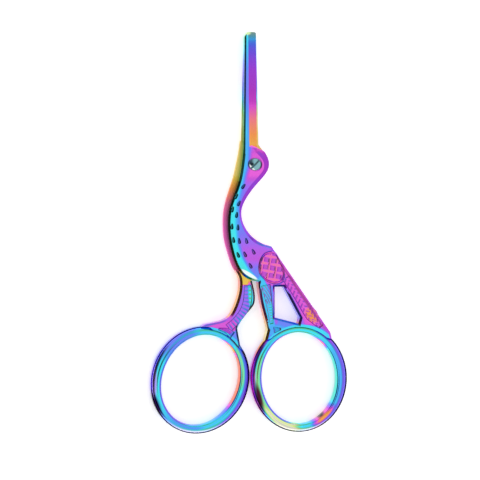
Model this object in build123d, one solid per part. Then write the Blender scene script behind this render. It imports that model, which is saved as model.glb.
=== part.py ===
from build123d import *
import math
import os

# Stork embroidery scissors, closed, lying on their back face, in millimetres.
# X is to the right, Y runs towards the tip of the beak, and Z points up from the resting face.
# The origin is where the axis of the pivot screw meets the resting face.

# Thickness
forging_thickness = 4.4     # body, legs and tail, and the two halves together at the head
ride_gap = 0.06             # between the inner faces of the two halves
shoulder_gap = 0.12         # between the halves where a step of one meets a step of the other
edge_bevel = 0.65           # bevel round the faces
blade_land = 0.22           # steel left at a cutting edge
cut_overrun = 1.0           # how far every cutter runs past what it cuts

# Beak, measured from the pivot
beak_reach = 37.5
beak_chamfer = 1.4
beak_corner_radius = 0.5
beak_bevel = 0.45           # along the back of each blade
beak_root = 3.0             # where the blades start, inside the heads
front_spine_at_tip = 2.95
front_spine_at_root = 3.25
front_edge_at_tip = 0.62
front_edge_at_root = 0.95
rear_edge_at_tip = 2.85
rear_edge_at_root = 3.75
rear_spine_at_tip = 0.68
rear_spine_at_root = 1.5
grind_width = 2.6           # width of the ground face beside a cutting edge

# Head and neck. Every distance aside is from the pivot, left or right as the photo shows it
head_top_up = 6.6
head_side_aside = 2.8       # where the slanting top of the stork's head meets its throat
head_side_up = 3.7
throat_aside = 0.95
rear_nape_start_aside = 3.75
crotch_aside = 0.55
crotch_down = 33.35         # from the pivot to the crotch
leg_length = 12.45          # from the crotch to the tops of the bows

# Body, measured up from the crotch
crotch_relief = 1.6         # cut away from the rear half's inner corner at the crotch
wing_corner_aside = 4.85
wing_corner_above = 9.95
tail_root_share = 0.35      # where the tail starts, along the back
rear_nape_end_aside = 5.55
rear_nape_end_above = 3.25

# Legs and the end of the tail, measured up or down from the tops of the bows
left_leg_gap = 1.3          # from the crotch to the inner side of the left leg
left_knee_aside = 5.05
left_knee_below = 0.9
left_heel_past = 1.36       # to the right of the left bow's middle
left_heel_above = 0.4
right_leg_gap = 0.5         # from the crotch to the inner side of the right leg
right_knee_aside = 3.8
right_knee_below = 1.4
back_end_past = 9.04        # to the right of the right bow's middle
back_end_below = 2.4

# Opening between the right leg and the tail, its lower corners measured up from the tops of the bows
opening_left_aside = 5.85
opening_left_above = 2.05
opening_top_width = 2.55
opening_top_below = 1.6     # under the crotch
opening_low_past = 0.14     # to the right of the right bow's middle
opening_low_above = 1.85
opening_bottom_before = 0.31  # to the left of it
opening_bottom_above = 0.2

# Finger bows
bow_hole_length = 26.1
bow_hole_width = 21.6
bow_side_width = 3.3        # width of the ring beside the hole
bow_end_width = 2.45        # width of the ring at the two ends of the hole
bow_thickness = 4.2
bow_round = 1.2             # rounding of the ring's four edges
bow_gap = 0.3               # between the two bows when the beak is closed
bow_meeting_aside = 1.2
left_bow_tilt = 22.3        # degrees, top leaning right
right_bow_tilt = 4.9        # degrees, top leaning left

# Where the legs and the tail run into the bows, in degrees round the bow from its top
left_web_angles = (-45, -18, 10, 50)
right_web_angles = (-58, -30, 0)
tail_web_angles = (0, 30, 62)

# Pivot screw
screw_head_radius = 1.78
screw_head_rise = 0.35      # the dome's height above the stork's face
screw_rim_depth = 0.1       # how far the dome's rim lies under the face
screw_seat_depth = 0.95
screw_shank_radius = 1.1
screw_slot_width = 0.55
screw_slot_depth = 0.45
screw_slot_angle = 45       # degrees
running_clearance = 0.04
seat_radius = 2.1

# Carving, the same on the front and the back face
dimple_length = 1.55
dimple_width = 0.62
dimple_fan = 90             # degrees that the dimples turn from the pivot to the crotch
carving_depth = 0.28
left_rungs_top_aside = 2.1
left_rungs_top_below = 0.85
left_rungs_end_aside = 8.35
left_rungs_end_below = 2.1  # under the tops of the bows
left_rung_length = 2.0
left_rung_width = 0.45
left_rung_count = 14
right_rungs_top_below = 4.7
right_rung_length = 1.3
right_rung_width = 0.35
right_rung_count = 11
feather_line_length = 4.6
feather_line_pitch = 0.85
feather_line_count = 4
feather_line_angle = -57    # degrees
wing_oval_width = 8.2
wing_oval_length = 9.6
wing_oval_aside = 5.0
wing_oval_above = 4.05
wing_tail_line = 10.4       # from the wing's corner, along the back, to where the tail starts
wing_band_width = 0.75
wing_band_pitch = 2.3
wing_band_count = 3         # in each of the two directions
tail_stroke_length = 1.1
tail_stroke_width = 0.38
tail_stroke_lean = 35       # degrees from the back's line, to alternate sides
tail_strokes_share = 0.38   # where the strokes start, along the back
tail_row_count = 3
tail_row_pitch = 0.9
tail_stroke_pitch = 1.35
tail_stroke_count = 13
panel_rim = 0.95            # from the edge of the forging to a carved panel

# Curves, as shares of the line between their two ends: along it, and to its left
nape_shares = [(0.078, -0.01), (0.169, -0.029), (0.272, -0.058), (0.368, -0.102), (0.463, -0.145),
               (0.575, -0.167), (0.688, -0.169), (0.803, -0.154), (0.897, -0.125)]
throat_shares = [(0.03, 0.01), (0.115, 0.056), (0.189, 0.079), (0.258, 0.072), (0.326, 0.022),
                 (0.415, -0.081), (0.51, -0.173), (0.613, -0.236), (0.72, -0.245), (0.838, -0.202),
                 (0.934, -0.12)]
rear_nape_shares = [(0.081, -0.007), (0.182, -0.022), (0.299, -0.044), (0.433, -0.081), (0.55, -0.103),
                    (0.658, -0.103), (0.766, -0.089), (0.88, -0.053)]
left_leg_outer_shares = [(0.059, 0.098), (0.161, 0.179), (0.279, 0.232), (0.425, 0.27), (0.58, 0.29),
                         (0.719, 0.275), (0.848, 0.179)]
left_leg_inner_shares = [(0.149, 0.092), (0.334, 0.169), (0.435, 0.18), (0.573, 0.133), (0.748, 0.062)]
right_leg_inner_shares = [(0.217, -0.022), (0.469, -0.028), (0.724, -0.011)]
wing_shares = [(0.276, 0.058), (0.411, 0.143), (0.563, 0.189), (0.736, 0.188), (0.898, 0.086)]

# Neck dimples, as shares of the line from the pivot to the crotch
dimple_shares = [(0.185, -0.102), (0.27, -0.166), (0.33, -0.141), (0.38, -0.202), (0.427, -0.165),
                 (0.524, -0.21), (0.534, -0.155), (0.639, -0.201), (0.649, -0.146), (0.65, -0.084),
                 (0.768, -0.162), (0.765, -0.099), (0.744, -0.025), (0.863, -0.053)]

# Middle line of the left leg's rungs, as shares of the line between its ends
left_rung_shares = [(0.258, 0.119), (0.418, 0.132), (0.612, 0.115), (0.823, 0.062)]

half_height = forging_thickness / 2
front_floor = half_height + ride_gap / 2
rear_ceiling = half_height - ride_gap / 2
layer = forging_thickness - front_floor

pivot = Vector(0, 0)
crotch = Vector(crotch_aside, -crotch_down)


def from_crotch(x, up):
    """A point of the plan, by how far it lies to the right of the pivot and above the crotch."""
    return Vector(x, up - crotch_down)


def from_bows(x, up):
    """A point of the plan, by how far it lies to the right of the pivot and above the tops of the bows."""
    return Vector(x, up - crotch_down - leg_length)


def ellipse_reach(long_half, short_half, tilt):
    """How far a tilted ellipse reaches sideways from its middle."""
    turn = math.radians(tilt)
    return math.hypot(long_half * math.sin(turn), short_half * math.cos(turn))


bow_outer_length_half = bow_hole_length / 2 + bow_end_width
bow_outer_width_half = bow_hole_width / 2 + bow_side_width
left_bow_reach = ellipse_reach(bow_outer_length_half, bow_outer_width_half, left_bow_tilt)
right_bow_reach = ellipse_reach(bow_outer_length_half, bow_outer_width_half, right_bow_tilt)
left_bow_middle = from_bows(-bow_meeting_aside - bow_gap / 2 - left_bow_reach, -bow_outer_length_half)
right_bow_middle = from_bows(-bow_meeting_aside + bow_gap / 2 + right_bow_reach, -bow_outer_length_half)

wing_corner = from_crotch(wing_corner_aside, wing_corner_above)
throat_top = Vector(throat_aside, head_top_up)
nape_top = Vector(-front_spine_at_root, head_top_up)
rear_nape_top = Vector(-rear_nape_start_aside, head_top_up)
rear_nape_end = from_crotch(-rear_nape_end_aside, rear_nape_end_above)
left_heel = from_bows(left_bow_middle.X + left_heel_past, left_heel_above)
back_end = from_bows(right_bow_middle.X + back_end_past, -back_end_below)
right_knee = from_bows(right_knee_aside, -right_knee_below)
opening_top_left = from_crotch(opening_left_aside, -opening_top_below)
opening_top_right = from_crotch(opening_left_aside + opening_top_width, -opening_top_below)
opening_low = from_bows(right_bow_middle.X + opening_low_past, opening_low_above)
opening_bottom = from_bows(right_bow_middle.X - opening_bottom_before, opening_bottom_above)


def share_point(start, end, share):
    """The point that lies a share of the way from start to end, and a share to the left of that line."""
    way = end - start
    return start + way * share[0] + Vector(-way.Y, way.X) * share[1]


def share_points(start, end, shares):
    """The points at a list of such shares."""
    return [share_point(start, end, share) for share in shares]


def curve(start, end, shares):
    """A smooth curve from start to end through the points that the shares give."""
    return Spline(start, *share_points(start, end, shares), end)


def flat(edges):
    """The flat face inside a ring of edges."""
    return make_face(edges)


def slab(face, low, high):
    """A face of the plan, from one height to another."""
    return extrude(Pos(0, 0, low) * face, high - low)


def bow_points(middle, tilt, angles):
    """Points on the middle line of a bow's ring, by their angles from the ring's top."""
    long_half = (bow_hole_length / 2 + bow_outer_length_half) / 2
    short_half = (bow_hole_width / 2 + bow_outer_width_half) / 2
    turns = [math.radians(angle) for angle in angles]
    return [middle + Vector(short_half * math.sin(turn), long_half * math.cos(turn)).rotate(Axis.Z, -tilt)
            for turn in turns]


def bow(middle, tilt):
    """A finger bow: an oval ring with rounded edges."""
    outer = Ellipse(bow_outer_width_half, bow_outer_length_half)
    hole = Ellipse(bow_hole_width / 2, bow_hole_length / 2)
    low = (forging_thickness - bow_thickness) / 2
    ring = slab(outer - hole, low, low + bow_thickness)
    ring = fillet(ring.edges(), bow_round)
    return Pos(middle.X, middle.Y) * Rot(0, 0, -tilt) * ring


def body_face():
    """The stork's head, neck and body, down to the crotch and the top of the opening."""
    tail_root = share_point(wing_corner, back_end, (tail_root_share, 0))
    whole = flat([
        curve(nape_top, crotch, nape_shares),
        Polyline(crotch, opening_top_left, opening_top_right, tail_root, wing_corner),
        curve(throat_top, wing_corner, throat_shares),
        Line(throat_top, nape_top),
    ])
    slant = Vector(head_side_aside, head_side_up) - nape_top
    above_head = flat(Polyline(
        nape_top,
        nape_top + slant * 2,
        nape_top + Vector(2 * slant.X, cut_overrun),
        nape_top + Vector(0, cut_overrun),
        close=True,
    ))
    return whole - above_head


def right_leg_face():
    """The right leg, with the web that spreads over the top of its bow."""
    inner_top = crotch + Vector(right_leg_gap, 0)
    return flat([
        curve(inner_top, right_knee, right_leg_inner_shares),
        Polyline(
            right_knee,
            *bow_points(right_bow_middle, -right_bow_tilt, right_web_angles),
            opening_bottom,
            from_bows(opening_left_aside, opening_left_above),
            opening_top_left,
            inner_top + Vector(0, right_leg_gap),
            inner_top,
        ),
    ])


def tail_face():
    """The tail, from the wing to the top of the right bow."""
    return flat(Polyline(
        opening_top_right,
        opening_low,
        opening_bottom,
        *bow_points(right_bow_middle, -right_bow_tilt, tail_web_angles),
        back_end,
        wing_corner,
        close=True,
    ))


def leg_half_face():
    """The rear half's head, neck and left leg, down to the top of the left bow."""
    top = crotch - Vector(left_leg_gap, 0)
    knee = from_bows(-left_knee_aside, -left_knee_below)
    throat_end = wing_corner + Vector(-2 * shoulder_gap, shoulder_gap)
    outer = Spline(
        rear_nape_top,
        *share_points(rear_nape_top, rear_nape_end, rear_nape_shares),
        rear_nape_end,
        *share_points(rear_nape_end, left_heel, left_leg_outer_shares),
        left_heel,
    )
    return flat([
        outer,
        Polyline(left_heel, *bow_points(left_bow_middle, left_bow_tilt, left_web_angles), knee),
        curve(top, knee, left_leg_inner_shares),
        Polyline(top, crotch + Vector(0, crotch_relief), throat_end),
        curve(throat_top, throat_end, throat_shares),
        Line(throat_top, rear_nape_top),
    ])


def wing_side():
    """Everything to the right of the wing's edge, where the stork's half is as thick as the whole."""
    far = Vector(back_end.X + bow_outer_width_half, 0)
    return flat([
        curve(crotch, wing_corner, wing_shares),
        Polyline(
            wing_corner,
            wing_corner + Vector(0, cut_overrun),
            wing_corner + Vector(0, cut_overrun) + far,
            crotch - Vector(0, crotch_down) + far,
            crotch - Vector(0, crotch_down),
            crotch,
        ),
    ])


def beak_face(left_tip, left_root, right_tip, right_root):
    """One blade's plan, from inside the head to the blunt tip; each side leans from its tip to its root."""
    shoulder = beak_reach - beak_chamfer
    face = flat(Polyline(
        Vector(-left_root, beak_root),
        Vector(-left_tip, shoulder),
        Vector(-left_tip + beak_chamfer / 2, beak_reach),
        Vector(right_tip, beak_reach),
        Vector(right_root, beak_root),
        close=True,
    ))
    return fillet(face.vertices().group_by(Axis.Y)[-1], beak_corner_radius)


def grind(edge_tip, edge_root, toward):
    """What is ground off a blade beside its cutting edge, as a wedge from the edge up to the ridge."""
    depth = layer - blade_land
    slope = depth / grind_width
    reach = grind_width + cut_overrun
    profile = flat(Polyline(
        Vector(0, 0),
        Vector(-toward * reach, slope * reach),
        Vector(toward * cut_overrun, slope * reach),
        Vector(toward * cut_overrun, -slope * cut_overrun),
        close=True,
    ))
    length = beak_reach - beak_root
    lean = math.degrees(math.atan2(toward * (edge_root - edge_tip), length))
    wedge = extrude(Plane.XZ * profile, -(length + 2 * cut_overrun))
    return Pos(toward * edge_root, beak_root - cut_overrun) * Rot(0, 0, lean) * wedge


def screw_hole(radius, low, high):
    """A round cutter on the pivot's axis."""
    return Pos(0, 0, low) * Cylinder(radius, high - low, align=(Align.CENTER, Align.CENTER, Align.MIN))


def near(value, wanted):
    """Whether two lengths are the same to within the running clearance."""
    return abs(value - wanted) < running_clearance


def rims(solid, heights):
    """The edges that lie flat at one of the heights, but for the one where the beak leaves the head."""
    return solid.edges().filter_by(lambda edge: not near((edge @ 0.5).Y, head_top_up) and any(
        near((edge @ 0).Z, height) and near((edge @ 1).Z, height) for height in heights))


def in_front_face(cutters):
    """Carving cutters, set as deep as the carving into the front face."""
    return [Pos(0, 0, forging_thickness - carving_depth) * cutter for cutter in cutters]


def in_back_face(cutters):
    """Carving cutters, set as deep as the carving into the back face."""
    return [Pos(0, 0, -cut_overrun) * cutter for cutter in cutters]


def groove(middle, turn, length, width):
    """A round-ended cutter for one carved stroke, as deep as the carving and its overrun."""
    stroke = Pos(middle.X, middle.Y) * Rot(0, 0, turn) * SlotOverall(length, width)
    return extrude(stroke, carving_depth + cut_overrun)


def neck_dimples():
    """The feather dimples that follow the bend of the neck."""
    way = crotch - pivot
    return [groove(share_point(pivot, crotch, share),
                   math.degrees(math.atan2(way.Y, way.X)) + dimple_fan * (share[0] - 0.5),
                   dimple_length, dimple_width)
            for share in dimple_shares]


def left_leg_rungs():
    """Rungs across the left leg, square to its bend, on to the web over the bow."""
    start = from_crotch(-left_rungs_top_aside, -left_rungs_top_below)
    end = from_bows(-left_rungs_end_aside, -left_rungs_end_below)
    line = curve(start, end, left_rung_shares)
    places = [(index + 0.5) / left_rung_count for index in range(left_rung_count)]
    return [groove(line @ place, math.degrees(math.atan2((line % place).Y, (line % place).X)) + 90,
                   left_rung_length, left_rung_width) for place in places]


def right_leg_rungs():
    """Short rungs down the right leg, with slanted feather lines above them."""
    aside = opening_left_aside - panel_rim - right_rung_length / 2
    top = from_crotch(aside, -right_rungs_top_below)
    pitch = (right_knee - top).Y / right_rung_count
    rungs = [groove(top + Vector(0, pitch * index), 0, right_rung_length, right_rung_width)
             for index in range(right_rung_count)]
    lines = [groove(from_crotch(aside - feather_line_pitch * (index - 0.5), -feather_line_length / 2),
                    feather_line_angle, feather_line_length, right_rung_width)
             for index in range(feather_line_count)]
    return rungs + lines


def wing_cells(inset):
    """The sunken cells of the wing's oval panel, between raised woven bands."""
    way = (back_end - wing_corner).normalized()
    slope = math.degrees(math.atan2(way.Y, way.X))
    length = wing_oval_length
    oval = Ellipse(wing_oval_width / 2, length / 2) + Pos(length / 2, 0) * Rectangle(length, length)
    back_side = Pos(wing_corner.X, wing_corner.Y) * Rot(0, 0, slope) * Pos(
        wing_tail_line / 2, -panel_rim - length / 2) * Rectangle(wing_tail_line, length)
    middle = from_crotch(wing_oval_aside, wing_oval_above)
    panel = Pos(middle.X + inset, middle.Y) * oval & back_side
    for turn in (slope, slope + 90):
        for index in range(wing_band_count):
            band = Pos(0, wing_band_pitch * (index - (wing_band_count - 1) / 2)) * Rectangle(
                2 * (length + wing_oval_width), wing_band_width)
            panel = panel - Pos(middle.X + wing_band_width, middle.Y) * Rot(0, 0, turn) * band
    return [extrude(cell, carving_depth + cut_overrun)
            for cell in panel.faces() if cell.area > wing_band_width ** 2]


def tail_strokes():
    """Rows of short feather strokes down the tail."""
    way = (back_end - wing_corner).normalized()
    across = Vector(way.Y, -way.X)
    turn = math.degrees(math.atan2(way.Y, way.X))
    start = share_point(wing_corner, back_end, (tail_strokes_share, 0))
    start = start + across * (panel_rim + tail_stroke_width)
    strokes = []
    for row in range(tail_row_count):
        for index in range(tail_stroke_count - row):
            place = start + across * (tail_row_pitch * row) + way * (tail_stroke_pitch * (index + row / 2))
            lean = tail_stroke_lean if row % 2 == 0 else -tail_stroke_lean
            strokes.append(groove(place, turn + lean, tail_stroke_length, tail_stroke_width))
    return strokes


def stork_half():
    """The front lever: beak, head, neck, body, wing, tail, right leg and right bow, in one forging."""
    plan = body_face() + right_leg_face() + tail_face()
    body = slab(plan, front_floor, forging_thickness) + slab(plan & wing_side(), 0, front_floor)
    body = chamfer(rims(body, [0, forging_thickness]), edge_bevel)
    blade = slab(beak_face(front_spine_at_tip, front_spine_at_root, front_edge_at_tip, front_edge_at_root),
                 front_floor, forging_thickness)
    blade = chamfer(rims(blade, [forging_thickness]).sort_by(Axis.X)[0], beak_bevel)
    blade = blade - Pos(0, 0, front_floor + blade_land) * grind(front_edge_at_tip, front_edge_at_root, 1)
    half = body + bow(right_bow_middle, -right_bow_tilt) + blade
    half = half - screw_hole(screw_shank_radius + running_clearance, 0, forging_thickness)
    seat = forging_thickness - screw_seat_depth
    half = half - screw_hole(seat_radius, seat, forging_thickness + cut_overrun)
    strokes = right_leg_rungs() + tail_strokes()
    half = half - in_front_face(strokes + wing_cells(0) + neck_dimples())
    return half - in_back_face(strokes + wing_cells(panel_rim))


def leg_half():
    """The rear lever: the other blade, the neck behind the stork's, the left leg and the left bow."""
    plan = leg_half_face()
    low = chamfer(rims(slab(plan, 0, rear_ceiling), [0]), edge_bevel)
    high = chamfer(rims(slab(plan, rear_ceiling, forging_thickness), [forging_thickness]), edge_bevel)
    neck_side = Pos(0, rear_nape_end.Y) * Rectangle(
        2 * back_end.X, 2 * crotch_down, align=(Align.CENTER, Align.MIN))
    high = high - slab(neck_side, rear_ceiling, forging_thickness)
    stork_back_plan = (body_face() + right_leg_face() + tail_face()) & wing_side()
    high = high - slab(Pos(-shoulder_gap, -shoulder_gap) * body_face(), rear_ceiling, forging_thickness)
    low = low - slab(Pos(-shoulder_gap, shoulder_gap / 2) * stork_back_plan, 0, rear_ceiling)
    blade = slab(beak_face(rear_edge_at_tip, rear_edge_at_root, rear_spine_at_tip, rear_spine_at_root),
                 0, rear_ceiling)
    blade = chamfer(rims(blade, [0]).sort_by(Axis.X)[-1], beak_bevel)
    wedge = grind(rear_edge_at_tip, rear_edge_at_root, -1)
    blade = blade - Pos(0, 0, rear_ceiling - blade_land) * mirror(wedge, Plane.XY)
    half = low + high + bow(left_bow_middle, left_bow_tilt) + blade
    half = half - screw_hole(screw_shank_radius, 0, forging_thickness)
    rungs = left_leg_rungs()
    return half - in_front_face(rungs) - in_back_face(rungs + neck_dimples())


def pivot_screw():
    """The slotted, domed screw that is the stork's eye, its end flush with the back face.
    A plain shank stands in for its thread."""
    seat = forging_thickness - screw_seat_depth + running_clearance
    rim = forging_thickness - screw_rim_depth
    crown = forging_thickness + screw_head_rise
    dome_radius = (screw_head_radius ** 2 + (crown - rim) ** 2) / (2 * (crown - rim))
    profile = flat([
        Polyline((0, 0), (screw_shank_radius, 0), (screw_shank_radius, seat),
                 (screw_head_radius, seat), (screw_head_radius, rim)),
        RadiusArc((screw_head_radius, rim), (0, crown), -dome_radius),
        Line((0, crown), (0, 0)),
    ])
    screw = revolve(Plane.XZ * profile, Axis.Z)
    slot = Rot(0, 0, screw_slot_angle) * Rectangle(4 * screw_head_radius, screw_slot_width)
    return screw - slab(slot, crown - screw_slot_depth, crown + cut_overrun)


def write_part(name, solid):
    """Writes one piece and prints its volume."""
    export_step(solid, "parts/" + name + ".step")
    print(name, round(solid.volume, 1), "cubic millimetres,", len(solid.solids()), "solid")


os.makedirs("parts", exist_ok=True)
write_part("stork_half", stork_half())
write_part("leg_half", leg_half())
write_part("pivot_screw", pivot_screw())
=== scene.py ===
import math

import bmesh
import bpy
import numpy as np
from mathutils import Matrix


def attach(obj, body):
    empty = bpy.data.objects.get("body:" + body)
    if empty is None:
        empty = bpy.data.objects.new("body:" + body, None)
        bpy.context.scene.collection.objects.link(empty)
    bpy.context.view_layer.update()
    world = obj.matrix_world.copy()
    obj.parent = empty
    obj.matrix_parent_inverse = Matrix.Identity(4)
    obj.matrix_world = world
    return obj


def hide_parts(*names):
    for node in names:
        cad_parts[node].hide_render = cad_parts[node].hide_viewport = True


# Stork embroidery scissors in stainless steel with a rainbow coating, closed, lying on their back face.
# Lengths are in millimetres here and turned to metres where a mesh is made. X is to the right,
# Y runs towards the tip of the beak, Z points up, and the pivot's axis is at X 0, Y 0.

MM = 0.001

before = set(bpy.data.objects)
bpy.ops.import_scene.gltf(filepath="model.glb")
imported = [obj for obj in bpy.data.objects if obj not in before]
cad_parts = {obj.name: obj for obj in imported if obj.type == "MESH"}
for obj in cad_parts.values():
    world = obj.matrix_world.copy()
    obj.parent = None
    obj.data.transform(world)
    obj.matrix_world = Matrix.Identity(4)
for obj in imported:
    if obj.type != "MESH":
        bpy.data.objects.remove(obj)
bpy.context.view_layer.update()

# Camera: above the scissors, leaning a little to their left and towards the beak
CAMERA_LEAN_LEFT = 11.0     # degrees
CAMERA_LEAN_TO_BEAK = 3.0
CAMERA_TARGET = (-4.4, -21.45, 4.6)
CAMERA_LENS = 200.0
CAMERA_SENSOR = 36.0
CAMERA_NEAR = 10.0
CAMERA_FAR = 20000.0
VIEW_WIDTH = 136.3          # of the object's plane, across the picture

# Heights and the reading of meshes
TOP = 4.4                   # front face
CAD_CARVING = 0.28          # depth of the solid's plain strokes, which this scene carves afresh
WELD = 0.0006               # corners nearer than this are one
LEVEL = 0.002               # heights nearer than this are the same
LEVEL_NORMAL = 0.99995      # Z of a normal above which a face counts as level
SHARP_ANGLE = 24            # degrees; an edge that turns more stays crisp
CURVE_STEPS = 24            # between two points of a curve
LOOP_STEPS = 4000           # of the path that a closed curve is cut from
LOOP_LEAST = 1000           # steps that it surely takes to come round
LOOP_EARLY = 3              # points that the path takes before the curve's start
LOOP_LATE = 4               # and after it has come round


def linear(text):
    """The linear colour of an sRGB hex value, with full alpha."""
    parts = [int(text[index:index + 2], 16) / 255 for index in (1, 3, 5)]
    return [part / 12.92 if part <= 0.04045 else ((part + 0.055) / 1.055) ** 2.4 for part in parts] + [1.0]


def step(value, edge, width):
    """0 below the edge and 1 above it, smooth over the width."""
    share = np.clip((value - edge) / width + 0.5, 0, 1)
    return share * share * (3 - 2 * share)


def groove_at(value, half_width):
    """A round valley of depth 1 where the value is 0, flat beyond its half width."""
    return np.clip(1 - (value / half_width) ** 2, 0, 1)


def evenly(path, count, closed=False):
    """Points at even distances along a fine path, and its length. Those of a closed one stop a distance
    before its end, which is its start again."""
    gone = np.concatenate([[0], np.cumsum(np.linalg.norm(np.diff(path, axis=0), axis=1))])
    places = np.linspace(0, gone[-1], count, endpoint=not closed)
    return np.stack([np.interp(places, gone, path[:, axis]) for axis in (0, 1)], axis=1), gone[-1]


def smooth_path(points, count):
    """A curve through the points, cubic between each two of them with the slope of the points on either
    side, at even distances along it, and its length."""
    points = np.asarray(points, float)
    before = np.vstack([2 * points[0] - points[1], points[:-1]])
    after = np.vstack([points[1:], 2 * points[-1] - points[-2]])
    slope = (after - before) / 2
    share = np.linspace(0, 1, CURVE_STEPS, endpoint=False)[:, None, None]
    start, end, left, right = points[:-1], points[1:], slope[:-1], slope[1:]
    fine = ((2 * share ** 3 - 3 * share ** 2 + 1) * start + (share ** 3 - 2 * share ** 2 + share) * left
            + (3 * share ** 2 - 2 * share ** 3) * end + (share ** 3 - share ** 2) * right)
    return evenly(np.vstack([fine.transpose(1, 0, 2).reshape(-1, 2), points[-1:]]), count)


def closed_curve(points, count):
    """A smooth curve that comes back to its start: a path through the points, begun some points early and
    ended some points late, is cut where it is nearest to the first point and where it comes back to it."""
    points = np.asarray(points, float)
    fine, _ = smooth_path(np.vstack([points[-LOOP_EARLY:], points, points[:LOOP_LATE]]), LOOP_STEPS)
    apart = np.linalg.norm(fine - points[0], axis=1)
    start = np.argmin(apart)
    later = start + LOOP_LEAST
    return evenly(fine[start:later + np.argmin(apart[later:])], count, closed=True)[0]


def rightward(path):
    """The unit vectors to the right of a plan path, square to its direction at each of its points."""
    way = np.gradient(path, axis=0)
    way /= np.linalg.norm(way, axis=1, keepdims=True)
    return np.stack([way[:, 1], -way[:, 0]], axis=1)


def new_object(name, points, faces):
    """An object in the scene with a mesh of these points, in millimetres, and faces."""
    mesh = bpy.data.meshes.new(name)
    mesh.from_pydata((points * MM).tolist(), [], faces)
    made = bpy.data.objects.new(name, mesh)
    bpy.context.scene.collection.objects.link(made)
    return made


def shell(name, grid, closed_path=False):
    """A closed surface over a grid of points (pieces, rows, columns, 3), in millimetres. The columns run
    round each row. The rows either join up as a ring or are closed at both ends by a fan round their mean.
    The side that encloses a positive volume faces out."""
    grid = np.asarray(grid, float)
    if grid.ndim == 3:
        grid = grid[None]
    pieces, rows, columns, _ = grid.shape
    index = np.arange(pieces * rows * columns).reshape(pieces, rows, columns)
    beside = np.roll(index, -1, axis=2)
    last = rows if closed_path else rows - 1
    here, there = index[:, :last], np.roll(index, -1, axis=1)[:, :last]
    here_beside, there_beside = beside[:, :last], np.roll(beside, -1, axis=1)[:, :last]
    quads = np.stack([here, here_beside, there_beside, there], axis=-1).reshape(-1, 4)
    points = grid.reshape(-1, 3)
    triangles = np.zeros((0, 3), int)
    if not closed_path:
        tips = len(points) + np.arange(pieces * 2).reshape(pieces, 2, 1) + np.zeros(columns, int)
        points = np.vstack([points, grid[:, [0, -1]].mean(axis=2).reshape(-1, 3)])
        first = np.stack([tips[:, 0], beside[:, 0], index[:, 0]], axis=-1)
        final = np.stack([tips[:, 1], index[:, -1], beside[:, -1]], axis=-1)
        triangles = np.vstack([first.reshape(-1, 3), final.reshape(-1, 3)])
    corners = np.vstack([quads[:, :3], quads[:, [0, 2, 3]], triangles])
    a, b, c = (points[corners[:, side]] for side in range(3))
    if np.einsum("ij,ij->i", a, np.cross(b, c)).sum() < 0:
        quads, triangles = quads[:, ::-1], triangles[:, ::-1]
    return new_object(name, points, quads.tolist() + triangles.tolist())


def flip_to_back(grid):
    """The same points mirrored from the front face to the back face."""
    return np.asarray(grid) * (1, 1, -1) + (0, 0, TOP)


def combine(piece, other, operation):
    """Adds another closed surface to a piece, or takes it away, and removes the other."""
    modifier = piece.modifiers.new("combine", "BOOLEAN")
    modifier.operation = operation
    modifier.solver = "MANIFOLD"
    modifier.object = other
    graph = bpy.context.evaluated_depsgraph_get()
    made = bpy.data.meshes.new_from_object(piece.evaluated_get(graph))
    piece.modifiers.clear()
    old, piece.data = piece.data, made
    bpy.data.meshes.remove(old)
    bpy.data.objects.remove(other)


def carve(piece, pocket, carved):
    """Cuts a pocket and sets its carved block in it, on the front face and mirrored on the back."""
    for placed in (np.asarray, flip_to_back):
        combine(piece, shell("pocket", placed(pocket)), "DIFFERENCE")
        combine(piece, shell("carved", placed(carved)), "UNION")


def corners_of(mesh):
    """The places of a mesh's points, and the three points of each of its triangles."""
    points = np.zeros(len(mesh.vertices) * 3)
    mesh.vertices.foreach_get("co", points)
    corners = np.zeros(len(mesh.loops), int)
    mesh.loops.foreach_get("vertex_index", corners)
    return points.reshape(-1, 3), corners.reshape(-1, 3)


def merged(points, corners):
    """The same triangles with the corners merged that lie nearer than the welding distance; triangles
    that this folds up are left out."""
    mesh = bpy.data.meshes.new("merged")
    mesh.from_pydata(points.tolist(), [], corners.tolist())
    shape = bmesh.new()
    shape.from_mesh(mesh)
    bmesh.ops.remove_doubles(shape, verts=shape.verts, dist=WELD)
    bmesh.ops.triangulate(shape, faces=shape.faces)
    shape.to_mesh(mesh)
    shape.free()
    points, corners = corners_of(mesh)
    bpy.data.meshes.remove(mesh)
    return points, corners


def plain_copy(node):
    """A copy of a CAD node with its doubled corners merged and its plain strokes filled: every level
    triangle at the depth of the solid's carving goes up, or on the back face down, to the face itself."""
    points, corners = corners_of(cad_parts[node].data)
    points, corners = merged(points / MM, corners)
    for floor, face in ((TOP - CAD_CARVING, TOP), (CAD_CARVING, 0.0)):
        level = (np.abs(points[corners][:, :, 2] - floor) < LEVEL).all(axis=1)
        points[np.unique(corners[level]), 2] = face
    points, corners = merged(points, corners)
    return new_object(node + "_finish", points, corners.tolist())


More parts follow.
